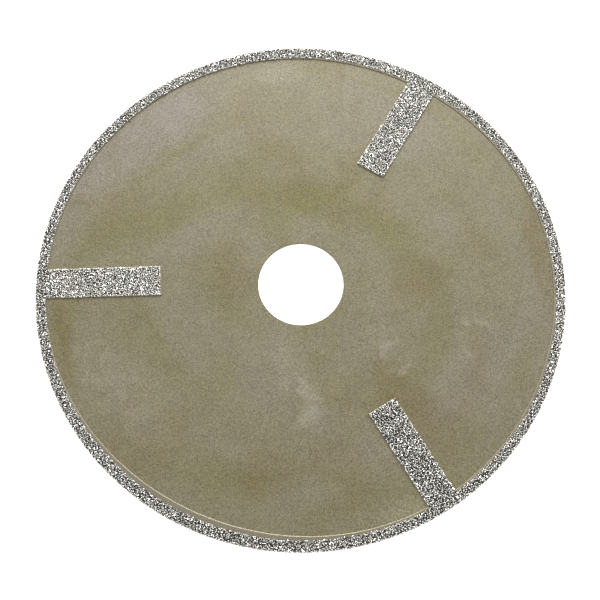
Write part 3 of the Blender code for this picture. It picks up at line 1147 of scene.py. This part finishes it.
@dataclass
class Grit:
    """How the crystals of every bed are chosen and set."""

    bank: CrystalBank
    rng: np.random.Generator
    sizes: WheelSizes
    spacing: float = 0.295 * MM
    largest: float = 0.26 * MM
    smallest: float = 0.13 * MM
    fill: float = 0.58
    fill_range: Span = (0.85, 1.1)
    unevenness: float = 0.02 * MM
    small: float = 0.25 * MM
    rise: float = 0.04 * MM
    snug: float = 0.8
    tone_passes: int = 2
    tone_push: float = 0.8
    tone_spread: Span = (0.48, 0.34)

    @staticmethod
    def neighbours(places: np.ndarray, count: int = 6) -> tuple[np.ndarray, np.ndarray]:
        """Each crystal's nearest neighbours.

        Args:
            places: One row (along, across) per crystal.
            count: How many neighbours to find.

        Returns:
            Their numbers and their distances, with a row per crystal.
        """
        tree = point_tree(places)
        found = [tree.find_n((*place, 0.0), count + 1)[1:] for place in places.tolist()]
        numbers = np.array([[item[1] for item in row] for row in found])
        gaps = np.array([[item[2] for item in row] for row in found])
        return numbers, gaps

    def radii(self, gaps: np.ndarray) -> np.ndarray:
        """A radius for each crystal, so that it nearly touches its nearest neighbours."""
        wanted = gaps[:, :3].mean(axis=1) * self.fill
        wanted *= self.rng.uniform(*self.fill_range, len(gaps))
        return np.clip(wanted, self.smallest, self.largest)

    def tones(self, numbers: np.ndarray, tone_and_shade: float | np.ndarray) -> np.ndarray:
        """A tone from 0, dark, to 1, light, for each crystal, that seldom repeats its neighbours'.

        Args:
            numbers: Each crystal's neighbours.
            tone_and_shade: The power on the tones, in all or at each crystal, which sets the bed's own
                tone and painted light and shade; 1 is plain, and less is paler.

        Returns:
            The tones.
        """
        raw = self.rng.random(len(numbers))
        for _ in range(self.tone_passes):
            raw = raw - self.tone_push * raw[numbers].mean(axis=1)
        tones = np.empty(len(raw))
        tones[np.argsort(raw)] = np.sort(self.rng.beta(*self.tone_spread, len(raw)))
        # The power sets the crystals' own tone and carries painted light and shade where it varies
        # round the wheel or from strip to strip
        return tones**tone_and_shade

    def lifts(self, radii: np.ndarray) -> np.ndarray:
        """How far each crystal stands out of its bed, the small ones a little more."""
        return self.rng.normal(0.0, self.unevenness, len(radii)) + self.rise * (radii < self.small)

    def crystals(
        self, radii: np.ndarray, rotate: np.ndarray
    ) -> tuple[list[np.ndarray], list[np.ndarray], np.ndarray]:
        """Shapes for a bed's crystals.

        Args:
            radii: Each crystal's radius.
            rotate: Each crystal's rotation matrix.

        Returns:
            For each crystal its points round its own centre and its triangles, and how many points
            each one has.
        """
        kinds = self.rng.integers(0, len(self.bank.shapes), len(radii))
        bodies, faces = [], []
        for kind, radius, turn in zip(kinds.tolist(), radii, rotate):
            points, triangles = self.bank.shapes[kind]
            bodies.append(points @ turn.T * radius)
            faces.append(triangles)
        return bodies, faces, np.array([len(body) for body in bodies])

    def lay(self, name: str, node: str, bed: Bed, map_size: Span, finish: Material) -> Piece:
        """Sets crystals on a bed and joins them into one piece.

        Args:
            name: The piece's name.
            node: The CAD node that it stands for.
            bed: Where the crystals go.
            map_size: The unrolled bed's length and width, for the bake's map.
            finish: The crystals' material.

        Returns:
            The grit piece.
        """
        bodies, faces, counts = self.crystals(bed.radii, random_turns(len(bed.radii), self.rng))
        owner = np.repeat(np.arange(len(counts)), counts)
        local = np.concatenate(bodies)
        points = bed.centres[owner] + np.einsum("nij,nj->ni", bed.axes[owner], local)
        reach = np.hypot(points[:, 0], points[:, 1])
        points[:, :2] *= np.minimum(1.0, self.sizes.wheel_radius / reach)[:, None]
        points[:, 2] = np.clip(points[:, 2], -self.sizes.wheel_half, self.sizes.wheel_half)
        first = np.concatenate([[0], np.cumsum(counts)[:-1]])
        triangles = np.concatenate([f + start for f, start in zip(faces, first.tolist())])
        uv = inset(np.clip((bed.places[owner] + local[:, :2]) / np.array(map_size), 0.0, 1.0))
        piece = mesh_piece(name, points, triangles, uv[triangles.ravel()])
        point_values(piece, "tone", bed.tones[owner])
        return fit_piece(piece, finish, node)


@dataclass
class RimGrit:
    """The crystals that cover the rim's two bands and the wheel's edge, in sectors."""

    grit: Grit
    starts: dict[Face, MaskLine]
    sectors: int = 12
    corner_radius: float = 0.36 * MM
    sink: float = 0.22 * MM
    # The power on the crystals' tones sets their own tone; painted light swings it round the rim,
    # paler towards the given azimuth on the far, upper side and darker on the near, lower side
    tone_and_shade: float = 0.77
    painted_light_swing: float = 0.17
    painted_light_azimuth: float = math.radians(71)
    least_cover: float = 0.3
    face_places: dict[Face, np.ndarray] = field(default_factory=dict)

    def build(self, finish: Material) -> list[Piece]:
        """Scatters the crystals over the unrolled rim and rolls them round its section.

        Args:
            finish: The crystals' material.

        Returns:
            One piece per sector.
        """
        s = self.grit.sizes
        everywhere = np.linspace(0, 2 * math.pi, 720)
        inner = min(line.at(everywhere).min() for line in self.starts.values())
        corner_r = s.wheel_radius - self.sink - self.corner_radius
        corner_z = s.wheel_half - self.sink - self.corner_radius
        flat = corner_r - inner
        bend = self.corner_radius * math.pi / 2
        half = flat + bend + corner_z
        girth = 2 * math.pi * s.wheel_radius
        places = scatter(girth, 2 * half, self.grit.spacing, self.grit.rng, wraps=True)
        azimuth = places[:, 0] / s.wheel_radius
        depth = half - np.abs(places[:, 1] - half)
        sign = np.where(places[:, 1] < half, 1.0, -1.0)
        turn = np.clip((depth - flat) / self.corner_radius, 0.0, math.pi / 2)
        radius = np.where(depth < flat, inner + depth, corner_r + self.corner_radius * np.sin(turn))
        drop = np.clip(depth - flat - bend, 0.0, None)
        height = sign * (corner_z + self.corner_radius * np.cos(turn) - drop)
        begins = np.where(sign > 0, *(self.starts[face].at(azimuth) for face in Face))
        numbers, gaps = self.grit.neighbours(places)
        # Painted light and shade: the rim's crystals are paler on the far, upper side and darker on
        # the near, lower side
        tone_and_shade = self.tone_and_shade - self.painted_light_swing * np.cos(azimuth - self.painted_light_azimuth)
        radii, tones = self.grit.radii(gaps), self.grit.tones(numbers, tone_and_shade)
        keep = radius - begins > self.least_cover * radii
        pressed = np.maximum(radius, begins + self.grit.snug * radii)
        radius = np.where(keep & (depth < flat), pressed, radius)
        out = on_wheel(np.sin(turn), azimuth, sign * np.cos(turn))
        round_wheel = np.stack([-np.sin(azimuth), np.cos(azimuth), np.zeros_like(azimuth)], axis=1)
        axes = np.stack([round_wheel, np.cross(out, round_wheel), out], axis=2)
        centres = on_wheel(radius, azimuth, height) + out * self.grit.lifts(radii)[:, None]
        for face in Face:
            mine = keep & (sign == face.value) & (depth < flat)
            self.face_places[face] = centres[mine, :2]
        sector = (azimuth / (2 * math.pi) * self.sectors).astype(int) % self.sectors
        bed = Bed(centres, axes, radii, tones, places)
        length = girth / self.sectors
        return [
            self.grit.lay(
                f"rim_grit_crystals_{number + 1}",
                "rim_grit",
                bed.picked(keep & (sector == number), number * length),
                (length, 2 * half),
                finish,
            )
            for number in range(self.sectors)
        ]


@dataclass
class StripGrit:
    """The crystals of one strip, up to where the rim's crystals start."""

    grit: Grit
    place: StripPlace
    rim_places: np.ndarray
    rim_start: MaskLine
    # The power on this strip's crystal tones: their own tone and a painted shade, darker on the lower
    # strip
    tone_and_shade: float
    sink: float = 0.22 * MM
    edge_inset: float = 0.08 * MM
    overrun: float = 0.6 * MM
    rim_gap: float = 0.9

    def build(self, finish: Material) -> Piece:
        """Scatters the crystals over the strip.

        Args:
            finish: The crystals' material.

        Returns:
            The strip's grit piece.
        """
        s, place = self.grit.sizes, self.place
        width = 2 * (place.half_width - self.edge_inset)
        start = place.inner_end + self.edge_inset
        length = s.wheel_radius - start
        places = scatter(length, width, self.grit.spacing, self.grit.rng, wraps=False)
        numbers, gaps = self.grit.neighbours(places)
        radii, tones = self.grit.radii(gaps), self.grit.tones(numbers, self.tone_and_shade)
        room = self.grit.snug * radii
        across = np.clip(places[:, 1] - width / 2, room - place.half_width, place.half_width - room)
        along = np.maximum(start + places[:, 0], place.inner_end + room)
        x, y = place.to_wheel(along, across)
        keep = np.hypot(x, y) < self.rim_start.at(np.arctan2(y, x)) + self.overrun
        keep &= self.clear_of_rim(x, y)
        sign = place.face.value
        height = sign * (s.wheel_half - self.sink + self.grit.lifts(radii))
        axis, out = np.array([*place.axis, 0.0]), np.array([0.0, 0.0, sign])
        axes = np.stack([axis, np.cross(out, axis), out], axis=1)
        axes = np.broadcast_to(axes, (len(radii), 3, 3))
        bed = Bed(np.stack([x, y, height], axis=1), axes, radii, tones, places)
        return self.grit.lay(
            f"strip_grit_{place.label}_crystals",
            f"strip_grit_{place.label}",
            bed.picked(keep),
            (length, length),
            finish,
        )

    def clear_of_rim(self, x: np.ndarray, y: np.ndarray) -> np.ndarray:
        """Whether each place is clear of the rim's own crystals."""
        tree = point_tree(self.rim_places)
        gaps = [tree.find((px, py, 0.0))[2] for px, py in zip(x.tolist(), y.tolist())]
        return np.array(gaps) > self.rim_gap * self.grit.spacing


# ---- Studio ----


@dataclass(frozen=True)
class StudioCamera:
    """A camera above the wheel's near side, looking down at its front face."""

    distance: float = 0.29663
    elevation: float = math.radians(71.52)
    lens_mm: float = 75.4
    pitch: float = -0.0120
    yaw: float = -0.0005
    roll: float = -0.0164

    def place(self) -> None:
        """Makes the scene's camera."""
        data = bpy.data.cameras.new("camera")
        data.lens = self.lens_mm
        data.sensor_width = 36.0
        data.clip_start, data.clip_end = 0.01, 50.0
        camera = into_scene("camera", data)
        bpy.context.scene.camera = camera
        place = Vector((0.0, -math.cos(self.elevation), math.sin(self.elevation))) * self.distance
        ahead = -place.normalized()
        right = Vector((1.0, 0.0, 0.0))
        up = right.cross(ahead)
        right, ahead = self.turned(right, ahead, self.yaw)
        up, ahead = self.turned(up, ahead, self.pitch)
        across, upward = self.turned(right, up, self.roll)
        turn = Matrix((across, upward, -ahead)).transposed().to_4x4()
        camera.matrix_world = Matrix.Translation(place) @ turn

    @staticmethod
    def turned(first: Vector, second: Vector, angle: float) -> tuple[Vector, Vector]:
        """Turns two square directions in the plane that they span."""
        cos, sin = math.cos(angle), math.sin(angle)
        return first * cos - second * sin, first * sin + second * cos


@dataclass(frozen=True)
class SoftBox:
    """A large soft lamp that faces the wheel."""

    name: str
    azimuth: float
    elevation: float
    distance: float
    size: float
    power: float

    def place(self) -> None:
        """Hangs the lamp; azimuth 0 is behind the wheel's far side, and grows to the right."""
        data = bpy.data.lights.new(self.name, "AREA")
        data.shape = "SQUARE"
        data.size = self.size
        data.energy = self.power
        lamp = into_scene(self.name, data)
        a, e = math.radians(self.azimuth), math.radians(self.elevation)
        away = Vector((math.sin(a) * math.cos(e), math.cos(a) * math.cos(e), math.sin(e)))
        lamp.location = away * self.distance
        lamp.rotation_euler = away.to_track_quat("Z", "Y").to_euler()


@dataclass(frozen=True)
class Studio:
    """Pale floor lit from within like a light table, soft lamps and a white surround."""

    floor_z: float
    floor_size: float = 8.0
    floor_glow: float = 1.0
    overhead: float = 1.0
    rear: float = 2.6
    front: float = 0.9
    backdrop: float = 1.0
    rear_span: Span = (0.38, 0.95)
    front_span: Span = (-0.6, 0.1)
    lamps: tuple[SoftBox, ...] = (
        SoftBox("key_softbox", 3.0, 31.0, 0.9, 0.45, 10.4),
    )

    def build(self) -> None:
        """Sets up the floor, the lamps, the surround and plain colour handling."""
        scene = bpy.context.scene
        scene.view_settings.view_transform = "Standard"
        scene.view_settings.look = "None"
        self.lay_floor()
        for lamp in self.lamps:
            lamp.place()
        self.light_surround(scene)

    def lay_floor(self) -> None:
        """Lays a matt white floor under the wheel."""
        half = self.floor_size / 2
        corners = np.array([(-half, -half), (half, -half), (half, half), (-half, half)])
        points = np.column_stack([corners, np.full(4, self.floor_z)])
        floor = mesh_piece("studio_floor", points, [[0, 1, 2, 3]])
        t = NodeTree.for_material("floor_paper")
        t.shade(
            Base_Color=rgb(0.93, 0.93, 0.93),
            Roughness=0.9,
            Emission_Color=rgb(1.0, 1.0, 1.0),
            Emission_Strength=self.floor_glow,
        )
        floor.data.materials.append(t.owner)

    def light_surround(self, scene: bpy.types.Scene) -> None:
        """Lights the surround brightest at the rear, and shows it white behind the wheel."""
        scene.world = bpy.data.worlds.new("studio_surround")
        t = NodeTree(scene.world, "Background")
        to_rear = t.axis(t.add("TexCoord").outputs["Generated"], "Y")
        rear = t.remap(to_rear, *self.rear_span, 0.0, self.rear - self.overhead)
        front = t.remap(to_rear, *self.front_span, self.front - self.overhead, 0.0)
        light = t.math("ADD", t.math("ADD", rear, front), self.overhead)
        unseen = t.math("SUBTRACT", 1.0, t.add("LightPath").outputs["Is Camera Ray"])
        seen = t.math("SUBTRACT", self.backdrop, t.math("MULTIPLY", unseen, self.backdrop))
        strength = t.math("ADD", t.math("MULTIPLY", light, unseen), seen)
        t.shade(Color=rgb(1.0, 1.0, 1.0), Strength=strength)


# ---- Wheel ----


@dataclass
class Wheel:
    """The whole disc: core, nickel bond and diamond grit."""

    sizes: WheelSizes
    seed: int = 11
    crystal_shapes: int = 48
    strip_count: int = 3
    # Powers on each strip's crystal tones: their own tone and a painted shade that darkens the third
    # strip, on the lower side of the front face
    strip_tone_and_shade: tuple[float, float, float] = (0.43, 0.36, 0.86)
    strip_end_lips: tuple[float, float, float] = (0.06 * MM, 0.30 * MM, 0.06 * MM)
    finishes: dict[Slot, Material] = field(default_factory=dict)

    def mask_lines(self) -> tuple[dict[Face, MaskLine], dict[Face, MaskLine]]:
        """Where the rim's plating and its grit start on each face."""
        bond, grit = self.sizes.bond_inner_radius, self.sizes.grit_inner_radius
        oval, lean = Wave(2, 0.47 * MM, -23.0), Wave(1, 0.20 * MM, 99.5)
        lobed = (Wave(3, 0.12 * MM, -54.0), Wave(4, 0.16 * MM, 20.0))
        plating = {
            Face.FRONT: MaskLine(bond + 0.26 * MM, (lean, oval, *lobed)),
            Face.BACK: MaskLine(
                bond + 0.20 * MM, (Wave(1, 0.25 * MM, 250.0), Wave(2, 0.15 * MM, 40.0))
            ),
        }
        crystals = {
            Face.FRONT: MaskLine(
                grit + 0.20 * MM, (Wave(1, 0.20 * MM, 282.0), Wave(2, 0.22 * MM, 160.0))
            ),
            Face.BACK: MaskLine(
                grit + 0.20 * MM, (Wave(1, 0.20 * MM, 250.0), Wave(2, 0.10 * MM, 40.0))
            ),
        }
        return plating, crystals

    def build(self) -> None:
        """Builds every piece of the wheel in order."""
        self.finishes = {
            Slot.CORE: SatinCore(self.sizes.core_half, self.sizes.bore_radius).material(),
            Slot.BOND: NickelPlating().material(),
            Slot.GRIT: DiamondCrystal().material(),
        }
        rng = np.random.default_rng(self.seed)
        grit = Grit(CrystalBank(self.crystal_shapes, rng), rng, self.sizes)
        plating = Plating(self.sizes)
        lines, starts = self.mask_lines()
        places = [
            StripPlace.measured(face, number)
            for face in Face
            for number in range(1, self.strip_count + 1)
        ]
        Core(self.sizes).build(self.finishes[Slot.CORE])
        RimBond(plating, lines, starts, places).build(self.finishes[Slot.BOND])
        rim = RimGrit(grit, starts)
        rim.build(self.finishes[Slot.GRIT])
        for place in places:
            lip, tone_and_shade = (
                values[place.number - 1] for values in (self.strip_end_lips, self.strip_tone_and_shade)
            )
            StripBond(plating, place, lip).build(self.finishes[Slot.BOND])
            rim_places, start = rim.face_places[place.face], starts[place.face]
            strip = StripGrit(grit, place, rim_places, start, tone_and_shade)
            strip.build(self.finishes[Slot.GRIT])


def main() -> None:
    """Builds the studio and the wheel."""
    logging.basicConfig(level=logging.INFO, format="%(name)s: %(message)s")
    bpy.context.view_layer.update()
    sizes = WheelSizes.measured()
    StudioCamera().place()
    Studio(floor_z=-sizes.wheel_half).build()
    Wheel(sizes).build()


if __name__ == "__main__":
    main()
